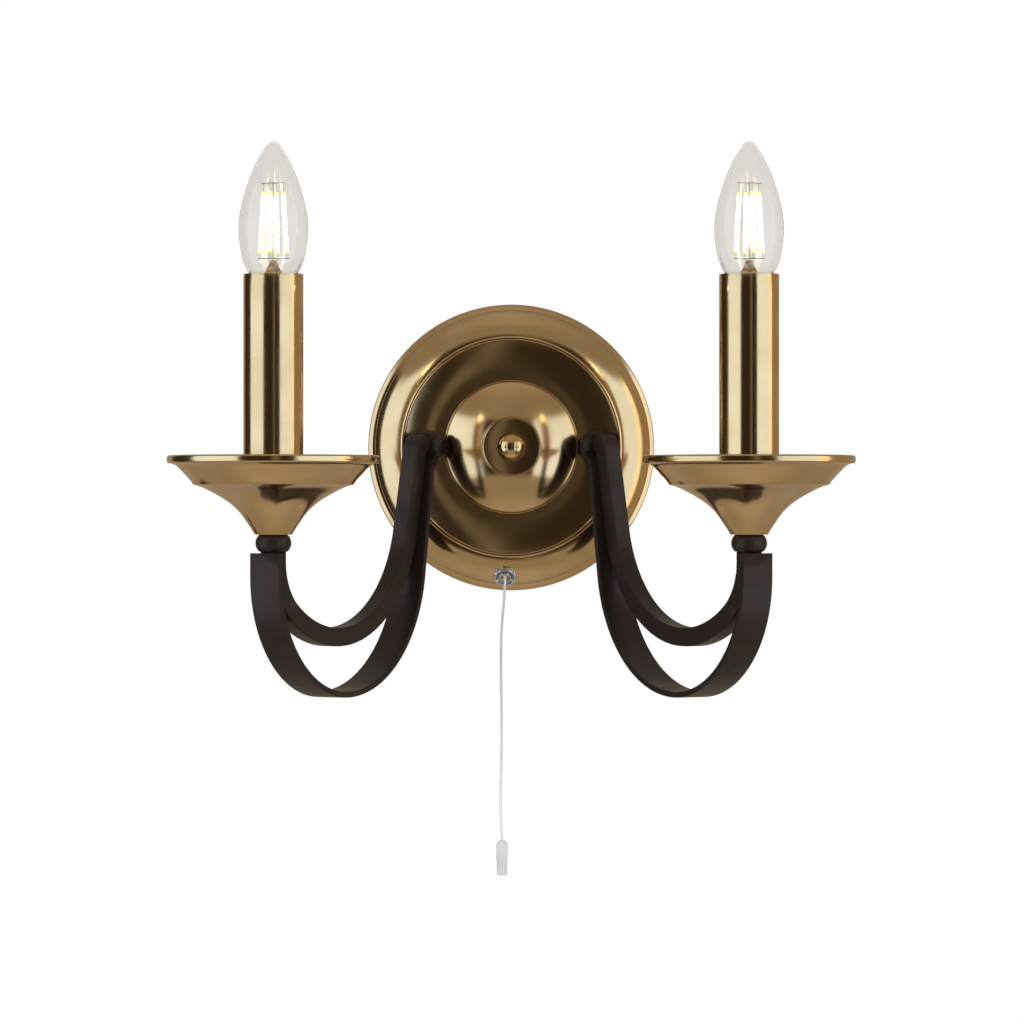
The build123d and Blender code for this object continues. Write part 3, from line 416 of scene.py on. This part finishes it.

# %% [markdown]
# The lamp glass is clear and blown thin, with faint waves and a breath of grey. The stem is thick
# clear glass; its golden and brown mottle is painted glow and painted reflection of the lit sticks.
# The sticks are rows of tiny lights under a yellow coat: white where they glow, yellow at their unlit
# ends. The floor is pale from above and open from below.

# %% Lamp glass and glowing sticks
tree, shader = start_finish("clear_glass")
shader.inputs["Transmission Weight"].default_value = 1.0
shader.inputs["IOR"].default_value = 1.46
shader.inputs["Base Color"].default_value = (0.855, 0.845, 0.815, 1)
rough(tree, shader, noise(tree, 45, 3.0), 0.0, 0.015)
bump(tree, shader, noise(tree, 70, 2.0), 0.12, 0.0004)

tree, shader = start_finish("stem_glass_painted_glow")
shader.inputs["Transmission Weight"].default_value = 0.35
shader.inputs["IOR"].default_value = 1.5
# Painted glow: the golden and brown mottle stands in for the lit sticks' light and its reflections in the
# clear stem.
two_tone(tree, shader, noise(tree, 420, 3.0), (0.98, 0.84, 0.58), (0.50, 0.28, 0.10), 0.4, 0.6)
rough(tree, shader, noise(tree, 200, 3.0), 0.05, 0.25)
bump(tree, shader, noise(tree, 260, 3.0), 0.5, 0.0008)

tree, shader = start_finish("glowing_stick")
STICK_LOW, STICK_HIGH = CANDLE_TOP + 0.0105, CANDLE_TOP + 0.0410
height = tree.nodes.new("ShaderNodeSeparateXYZ")
link(tree, tree.nodes.new("ShaderNodeTexCoord").outputs["Object"], height.inputs[0])
over_foot = range_node(tree, height.outputs[2], STICK_LOW, STICK_LOW + 0.0042)
under_top = range_node(tree, height.outputs[2], STICK_HIGH, STICK_HIGH - 0.0042)
lit = math_node(tree, "MULTIPLY", over_foot, under_top)
beads = noise(tree, 1400, 1.0)
glow = mix_node(tree, lit, (0.95, 0.74, 0.16), (1.0, 0.90, 0.66))
link(tree, glow, shader.inputs["Base Color"])
link(tree, glow, shader.inputs["Emission Color"])
power = math_node(tree, "MULTIPLY_ADD", lit, 6.0)
power.node.inputs[2].default_value = 1.2
link(tree, math_node(tree, "MULTIPLY", power, range_node(tree, beads, 0.2, 0.8, 0.85, 1.1)),
     shader.inputs["Emission Strength"])
shader.inputs["Roughness"].default_value = 0.6

FLOOR_LIFT = 0.45
tree, shader = start_finish("studio_floor")
two_tone(tree, shader, noise(tree, 3, 2.0), (0.80, 0.80, 0.79), (0.77, 0.77, 0.76))
shader.inputs["Roughness"].default_value = 0.8
seen_by_eye = tree.nodes.new("ShaderNodeLightPath").outputs["Is Camera Ray"]
link(tree, math_node(tree, "MULTIPLY", seen_by_eye, FLOOR_LIFT), shader.inputs["Emission Strength"])
either_side = tree.nodes.new("ShaderNodeMixShader")
link(tree, tree.nodes.new("ShaderNodeNewGeometry").outputs["Backfacing"], either_side.inputs[0])
link(tree, shader.outputs[0], either_side.inputs[1])
link(tree, tree.nodes.new("ShaderNodeBsdfTransparent").outputs[0], either_side.inputs[2])
link(tree, either_side.outputs[0], tree.nodes["Material Output"].inputs["Surface"])
floor.data.materials.append(FINISH["studio_floor"])
print("finishes", len(FINISH))

# %% [markdown]
# ## Dressing the frame
# Each solid names the finish it takes. Pieces that are turned again below get theirs when they are
# made, and everything that keeps its measured shape is given it here.

# %% Give every solid its finish
SLOT_OF = {row["node"]: row["material_slot"] for row in frame["record"]["subparts"]}
BODY_OF = {node: body for body, nodes in frame["record"]["behaviour"]["bodies"].items() for node in nodes}
for node, slot_name in SLOT_OF.items():
    solid = frame["nodes"][node]
    solid.data.materials.clear()
    solid.data.materials.append(FINISH[slot_name])
pull_string.data.materials.append(FINISH["cord_fibre"])
print("dressed", len(SLOT_OF))

# %% [markdown]
# ## Turning on the lathe
# Plate, dome, cups, tubes and glass are all round. A round piece could be stacked from rings, but a
# spinner works from one outline: here a point is extruded along it, and the line is spun about the
# piece's own axis. The outline's own length is kept as a map, so the rings of the finish follow it.

# %% Lathe helpers
def arc(centre, radius, start, end, steps=14):
    """Points of an arc in the outline's plane; angles are degrees from straight out."""
    angles = [math.radians(start + (end - start) * step / steps) for step in range(steps + 1)]
    return [(centre[0] + radius * math.cos(a), centre[1] + radius * math.sin(a)) for a in angles]


def arc_through(start, middle, end, steps=10):
    """Points of the arc that passes through three points."""
    (ax, ay), (bx, by), (cx, cy) = start, middle, end
    twice = 2 * (ax * (by - cy) + bx * (cy - ay) + cx * (ay - by))
    a, b, c = ax * ax + ay * ay, bx * bx + by * by, cx * cx + cy * cy
    centre = ((a * (by - cy) + b * (cy - ay) + c * (ay - by)) / twice,
              (a * (cx - bx) + b * (ax - cx) + c * (bx - ax)) / twice)
    first, between, last = [math.degrees(math.atan2(y - centre[1], x - centre[0]))
                            for x, y in (start, middle, end)]
    turn = (last - first) % 360
    if (between - first) % 360 > turn:
        turn -= 360
    return arc(centre, math.hypot(ax - centre[0], ay - centre[1]), first, first + turn, steps)


def flowing(points, steps=4):
    """A smooth line through every point, in short steps."""
    ends = [tuple(2 * points[0][i] - points[1][i] for i in (0, 1))] + list(points)
    ends.append(tuple(2 * points[-1][i] - points[-2][i] for i in (0, 1)))
    line = []
    for p0, p1, p2, p3 in zip(ends, ends[1:], ends[2:], ends[3:]):
        for step in range(steps):
            t = step / steps
            line.append(tuple(
                0.5 * (2 * p1[i] + (p2[i] - p0[i]) * t
                       + (2 * p0[i] - 5 * p1[i] + 4 * p2[i] - p3[i]) * t * t
                       + (3 * p1[i] - p0[i] - 3 * p2[i] + p3[i]) * t ** 3) for i in (0, 1)))
    return line + [tuple(points[-1])]


def inside(line, wall):
    """The same line one wall thickness to its left."""
    moved = []
    for index, (x, y) in enumerate(line):
        before = line[max(index - 1, 0)]
        after = line[min(index + 1, len(line) - 1)]
        dx, dy = after[0] - before[0], after[1] - before[1]
        length = math.hypot(dx, dy)
        moved.append((x - dy / length * wall, y + dx / length * wall))
    return moved


print("outline helpers ready")

# %% [markdown]
# The spin leaves a seam where it closes and a pinch where the outline meets the axis. Merging doubles
# shuts both, and only then are the normals turned outwards, so that the light falls on the right side.

# %% Spin an outline
WALL_AXIS = (0.0, -1.0, 0.0)
UP_AXIS = (0.0, 0.0, 1.0)


def map_rings(piece, centre, axis):
    """Maps the piece: across the map is the turn about the axis, up it the way along the outline."""
    centre, axis = Vector(centre), Vector(axis)
    side = axis.orthogonal().normalized()
    other = axis.cross(side)
    layer = piece.data.uv_layers.new(name="rings")
    for face in piece.data.polygons:
        middle = face.center - centre
        home = math.atan2(middle.dot(other), middle.dot(side))
        for loop in face.loop_indices:
            place = piece.data.vertices[piece.data.loops[loop].vertex_index].co - centre
            along = place.dot(axis)
            out = (place - axis * along).length
            turn = math.atan2(place.dot(other), place.dot(side)) if out > 1e-7 else home
            turn = home + (turn - home + math.pi) % (2 * math.pi) - math.pi
            layer.data[loop].uv = (turn / (2 * math.pi), along + out)


def turn_piece(name, outline, centre=(0, 0, 0), axis=WALL_AXIS, steps=128, crease=38):
    """Extrudes a point along the closed outline (millimetres: out, along) and spins it about the axis."""
    out = Vector((1, 0, 0))
    places = [Vector(centre) + (out * x + Vector(axis) * y) * MM for x, y in outline]
    bpy.ops.object.select_all(action="DESELECT")
    bpy.ops.mesh.primitive_plane_add(size=MM)
    piece = bpy.context.object
    piece.name = name
    bpy.ops.object.mode_set(mode="EDIT")
    bpy.ops.mesh.merge(type="CENTER")
    bpy.ops.transform.translate(value=places[0])
    for start, end in zip(places, places[1:] + places[:1]):
        bpy.ops.mesh.extrude_region_move(TRANSFORM_OT_translate={"value": end - start})
    bpy.ops.mesh.select_all(action="SELECT")
    bpy.ops.mesh.remove_doubles(threshold=1e-6)
    bpy.ops.mesh.spin(steps=steps, angle=2 * math.pi, center=centre, axis=axis)
    bpy.ops.mesh.select_all(action="SELECT")
    bpy.ops.mesh.remove_doubles(threshold=1e-6)
    bpy.ops.mesh.normals_make_consistent(inside=False)
    bpy.ops.object.mode_set(mode="OBJECT")
    bpy.ops.object.shade_smooth_by_angle(angle=math.radians(crease))
    map_rings(piece, centre, axis)
    return piece


def stands_for(piece, node, finish=None):
    """The piece takes over from a solid: its body, its finish and its place in the model."""
    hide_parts(node)
    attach(piece, BODY_OF[node])
    piece.data.materials.clear()
    piece.data.materials.append(FINISH[finish or SLOT_OF[node]])
    print(piece.name, "for", node, len(piece.data.polygons), "faces")


# %% [markdown]
# ## Wall plate
# The plate is one spun sheet. Its edge lies on the wall, a steep rim sweeps up from it, the broad
# flange curves over to a thin bead, and inside the bead a shallow dish runs level under the dome.

# %% Turn the wall plate
FLANGE_CENTRE = (54.2465, 0.35)
FLANGE_RADIUS = 20.5
SHEET = 1.0
PLATE_RADIUS = 76.0
RIM_INSIDE = 72.0
CENTRE_HOLE = 30.0
DISH_CENTRE = (40.0087, 77.9294)
DISH_RADIUS = 60.0
DISH_FLOOR = DISH_CENTRE[1] - DISH_RADIUS
dish_edge = (56.0087, 20.1020)
crest = (58.5087, 20.4020)
dish_turn = math.degrees(math.asin((dish_edge[0] - DISH_CENTRE[0]) / DISH_RADIUS))

plate_outline = [(RIM_INSIDE, 0.0), (PLATE_RADIUS, 0.0)]
plate_outline += arc((PLATE_RADIUS - 1.5, 1.6), 1.5, 0, 65, 10)
plate_outline += arc((77.17, 7.33), 4.82, -115, -180, 12)[1:]
plate_outline += arc(FLANGE_CENTRE, FLANGE_RADIUS, 30, 78, 32)
plate_outline += arc_through(crest, (57.2587, 21.2020), dish_edge, 10)
plate_outline += arc(DISH_CENTRE, DISH_RADIUS, dish_turn - 90, -90, 16)[1:]
plate_outline += [(35.0, DISH_FLOOR), (CENTRE_HOLE, DISH_FLOOR)]
plate_outline += [(CENTRE_HOLE, DISH_FLOOR - SHEET), (40.0, DISH_FLOOR - SHEET)]
plate_outline += arc(DISH_CENTRE, DISH_RADIUS + SHEET, -90, dish_turn - 90, 8)[1:]
plate_outline += arc(FLANGE_CENTRE, FLANGE_RADIUS - SHEET, 78, 30, 14)
plate_outline += [(RIM_INSIDE, 1.6)]
wall_plate = turn_piece("wall_plate", plate_outline, steps=192)
stands_for(wall_plate, "backplate")

# %% [markdown]
# ## Dome, washer and finial
# The domed cap sits on the dish with a thin rim that catches the light. A dished washer and a ball
# finial screw down on it and hold the whole plate. Each is its own turned piece, as on the bench.

# %% Turn the dome, the washer and the finial
DOME_CURVE = 53.0
DOME_RADIUS = 35.3
DOME_FOOT = DISH_FLOOR + 1.0


def dome_height(radius):
    """How high the dome stands above the wall at this distance from its middle."""
    foot_drop = math.sqrt(DOME_CURVE ** 2 - DOME_RADIUS ** 2)
    return DOME_FOOT + math.sqrt(DOME_CURVE ** 2 - radius ** 2) - foot_drop


SKIRT_RADIUS, SEAT_RADIUS, DOME_STEPS = 34.35, 15.0, 40
dome_top = dome_height(SEAT_RADIUS)
dome_span = SKIRT_RADIUS - SEAT_RADIUS
dome_radii = [SKIRT_RADIUS - dome_span * step / DOME_STEPS for step in range(DOME_STEPS + 1)]
dome_line = [(radius, dome_height(radius)) for radius in dome_radii]
dome_outline = [(34.3, DISH_FLOOR), (DOME_RADIUS, DISH_FLOOR)]
dome_outline += arc((DOME_RADIUS - 0.45, DOME_FOOT - 0.45), 0.45, 0, 90, 6)
dome_outline += [(34.55, DOME_FOOT)] + dome_line
dome_outline += [(3.2, dome_top), (3.2, dome_top - 1.0)]
dome_outline += [(x, y - 1.05) for x, y in reversed(dome_line)]
stands_for(turn_piece("domed_cap", dome_outline, steps=160), "centre_dome")

washer_rim = dome_top + 2.0
washer_floor = washer_rim - 0.9
washer_outline = [(3.2, dome_top), (13.0, dome_top), (15.8, washer_rim - 0.6)]
washer_outline += arc((15.6, washer_rim - 0.4), 0.4, -20, 135, 10)
washer_outline += arc_through((15.2, washer_rim - 0.3), (9.8, washer_floor + 0.12),
                              (4.8, washer_floor), 16)[1:]
washer_outline += [(3.2, washer_floor)]
stands_for(turn_piece("finial_washer", washer_outline, steps=128), "finial_dish")

BALL_RADIUS, NECK_RADIUS, NECK_HEIGHT = 7.0, 4.2, 1.6
ball_centre = washer_floor + NECK_HEIGHT + math.sqrt(BALL_RADIUS ** 2 - NECK_RADIUS ** 2)
ball_start = -math.degrees(math.acos(NECK_RADIUS / BALL_RADIUS))
ball_outline = [(3.1, washer_floor), (NECK_RADIUS, washer_floor), (NECK_RADIUS, washer_floor + 0.9)]
ball_outline += arc((0, ball_centre), BALL_RADIUS, ball_start + 4, 90, 36)
ball_outline += [(0.0, washer_floor + 6.0), (3.1, washer_floor + 6.0)]
stands_for(turn_piece("finial_knob", ball_outline, steps=96), "finial_ball")

# %% [markdown]
# ## Drip cups
# A drip cup is a trumpet that opens into a small cove and ends in a rolled lip. The outline was
# taken as a turner takes it, with a few offsets from the foot upwards, and a smooth line runs through
# them. The second cup is a copy of the first with its own mesh, moved across to the other arm.

# %% Turn the drip cups
CUP_FOOT = -45.6126
TRUMPET = [(9.4, 0.0), (11.11, 2.93), (13.01, 5.75), (14.91, 8.57), (17.0, 11.26), (19.37, 13.69),
           (21.98, 15.87), (24.78, 17.81), (27.69, 19.55), (30.68, 21.18), (33.7, 22.75), (36.83, 24.07),
           (40.1, 25.0)]
COVE = [(40.1, 25.0), (41.16, 26.63), (42.41, 28.13), (43.74, 29.56), (45.08, 30.98), (46.43, 32.39),
        (47.81, 33.77), (49.37, 34.93), (51.2, 35.6)]
CUP_SHEET = 0.9

trumpet_line, cove_line = flowing(TRUMPET, 3), flowing(COVE, 3)
cup_outline = [(4.1, 0.0)] + trumpet_line + cove_line[1:]
cup_outline += arc((52.0, 36.8), 1.2, -90, 0, 8) + arc((52.0, 38.4), 1.2, 0, 90, 8) + [(51.2, 39.6)]
cup_outline += arc_through((51.2, 39.6), (49.8, 38.5), (51.02, 36.48), 8)[1:-1]
inner_cove, inner_trumpet = inside(cove_line, CUP_SHEET), inside(trumpet_line, CUP_SHEET)
cup_outline += [point for point in reversed(inner_cove) if point[1] > 25.6]
cup_outline += [point for point in reversed(inner_trumpet) if point[1] > CUP_SHEET]
cup_outline += [(4.1, CUP_SHEET)]
RIGHT_AXIS = (CUP_X, CUP_Y, 0.0)


def both_sides(name, node, outline, foot, steps=144, crease=38, finish=None):
    """Turns the right-hand piece about the cup's upright axis and copies it to the left."""
    raised = [(x, y + foot) for x, y in outline]
    right = turn_piece(name + "_right", raised, RIGHT_AXIS, UP_AXIS, steps, crease)
    left = right.copy()
    left.data = right.data.copy()
    left.name = name + "_left"
    left.data.transform(Matrix.Translation((-2 * CUP_X, 0, 0)))
    bpy.context.scene.collection.objects.link(left)
    stands_for(right, node + "_right", finish)
    stands_for(left, node + "_left", finish)


both_sides("spun_cup", "drip_cup", cup_outline, CUP_FOOT)

# %% [markdown]
# ## Candle tubes
# The candle tube is a plain length of thin brass tube, sawn square and dressed with a fine file, so
# its top edge has only a hair of a chamfer. That chamfer is what makes the rim shine.

# %% Turn the candle tubes
TUBE_FOOT, TUBE_TOP = -34.9003, 84.6874
TUBE_OUTSIDE, TUBE_INSIDE = 15.0, 14.2
CHAMFER = 0.2
chamfer_foot = TUBE_TOP - CHAMFER
tube_outline = [(TUBE_INSIDE, TUBE_FOOT), (TUBE_OUTSIDE, TUBE_FOOT)]
tube_outline += [(TUBE_OUTSIDE, TUBE_FOOT + (chamfer_foot - TUBE_FOOT) * step / 12)
                 for step in range(1, 13)]
tube_outline += [(TUBE_OUTSIDE - 0.08, TUBE_TOP - 0.06), (TUBE_OUTSIDE - CHAMFER, TUBE_TOP),
                 (TUBE_INSIDE + CHAMFER, TUBE_TOP), (TUBE_INSIDE + 0.08, TUBE_TOP - 0.06),
                 (TUBE_INSIDE, chamfer_foot)]
both_sides("brass_tube", "candle_tube", tube_outline, 0.0, steps=128)

# %% [markdown]
# ## Lamps
# The lamp's envelope is blown glass, widest a third of the way up and drawn to a rounded tip. It has
# a real wall, because two surfaces a little apart are what makes clear glass look hollow. The flared
# stem inside it is solid glass and carries the wires.

# %% Turn the lamp glass and its stem
NECK = [(6.2, -7.9), (8.09, -6.1), (9.72, -4.06), (11.12, -1.86), (12.39, 0.43), (13.59, 2.75),
        (14.61, 5.15), (15.37, 7.65), (15.94, 10.2), (16.41, 12.77), (16.82, 15.35), (17.14, 17.94),
        (17.35, 20.54)]
CROWN = [(17.4, 23.15), (17.28, 25.76), (17.02, 28.36), (16.62, 30.94), (16.13, 33.51), (15.56, 36.06),
         (14.91, 38.59), (14.2, 41.1), (13.43, 43.6), (12.6, 46.07), (11.71, 48.53), (10.76, 50.96),
         (9.73, 53.36), (8.61, 55.72), (7.41, 58.04), (6.12, 60.32), (4.74, 62.53), (3.28, 64.69)]
GLASS_WALL = 0.8
TIP_CENTRE, TIP_RADIUS = (0.0, 62.4078), 4.0
glass_line = flowing(NECK + CROWN, 3)
glass_tip = arc(TIP_CENTRE, TIP_RADIUS, 35, 90, 10)
glass_outline = [(6.2, -12.2)] + glass_line + glass_tip[1:]
glass_outline += arc(TIP_CENTRE, TIP_RADIUS - GLASS_WALL, 90, 35, 8)
glass_outline += list(reversed(inside(glass_line, GLASS_WALL)))[1:] + [(5.4, -12.2)]
both_sides("envelope", "lamp_glass", glass_outline, TUBE_TOP, steps=96, crease=60)

FLARE = [(5.1, -1.0), (4.63, 0.36), (4.07, 1.69), (3.43, 2.99), (2.75, 4.26), (2.19, 5.59), (1.9, 6.7)]
stem_line = flowing(FLARE, 3)
stem_outline = [(0.0, -12.2), (4.9, -12.2), (5.1, -12.0)] + stem_line + [(1.6, 7.0), (0.0, 7.0)]
both_sides("flared_stem", "lamp_stem", stem_outline, TUBE_TOP, steps=64, crease=60, finish="stem_glass_painted_glow")

# %% [markdown]
# ## Weight on the cord
# The little weight is moulded plastic with a domed top. Under it is the well that hides the cord's
# knot, so its foot is a ring and not a flat end.

# %% Turn the weight
weight_outline = [(0.7, 0.0)] + arc_through((0.7, 0.0), (2.25, -0.95), (3.1, -3.1), 10)[1:]
weight_outline += [(3.1 - 0.45 * step / 8, -3.1 - 14.9 * step / 8) for step in range(1, 9)]
weight_outline += arc((2.15, -18.1), 0.5, 0, -90, 5)[1:]
weight_outline += [(1.3, -18.6), (1.2, -18.5), (1.2, -16.8), (0.0, -16.8)]
weight_outline += [(0.0, 0.0)]
cord_foot = tuple(value * MM for value in CORD_ROUTE[-1])
weight_piece = turn_piece("cord_weight", weight_outline, cord_foot, UP_AXIS, 64, 38)
stands_for(weight_piece, "pull_weight")

# %% [markdown]
# ## Arms, balls and ferrule
# The bent arms and the balls already have their real shape, with rounded corners. Their solids come
# as loose triangles, so a copy of each is merged into one skin, and that skin is shaded smooth up to
# its true corners. The measured solid itself stays untouched underneath.

# %% Copy and smooth the bent and trimmed pieces
def smooth_skin(node, name, crease=34):
    """A merged copy of a solid, smooth everywhere but at its corners."""
    piece = bpy.data.objects.new(name, frame["nodes"][node].data.copy())
    bpy.context.scene.collection.objects.link(piece)
    bpy.ops.object.select_all(action="DESELECT")
    piece.select_set(True)
    bpy.context.view_layer.objects.active = piece
    bpy.ops.object.mode_set(mode="EDIT")
    bpy.ops.mesh.select_all(action="SELECT")
    bpy.ops.mesh.remove_doubles(threshold=1e-6)
    bpy.ops.object.mode_set(mode="OBJECT")
    bpy.ops.object.shade_smooth_by_angle(angle=math.radians(crease))
    stands_for(piece, node)


for side in ("right", "left"):
    smooth_skin("arm_tube_" + side, "bent_tube_" + side)
    smooth_skin("arm_strip_" + side, "bent_strip_" + side)
    smooth_skin("wall_ball_" + side, "plate_ball_" + side)
    smooth_skin("cup_ball_" + side, "neck_ball_" + side)
smooth_skin("cord_guide", "ferrule")
smooth_skin("guide_ring", "ferrule_ring")
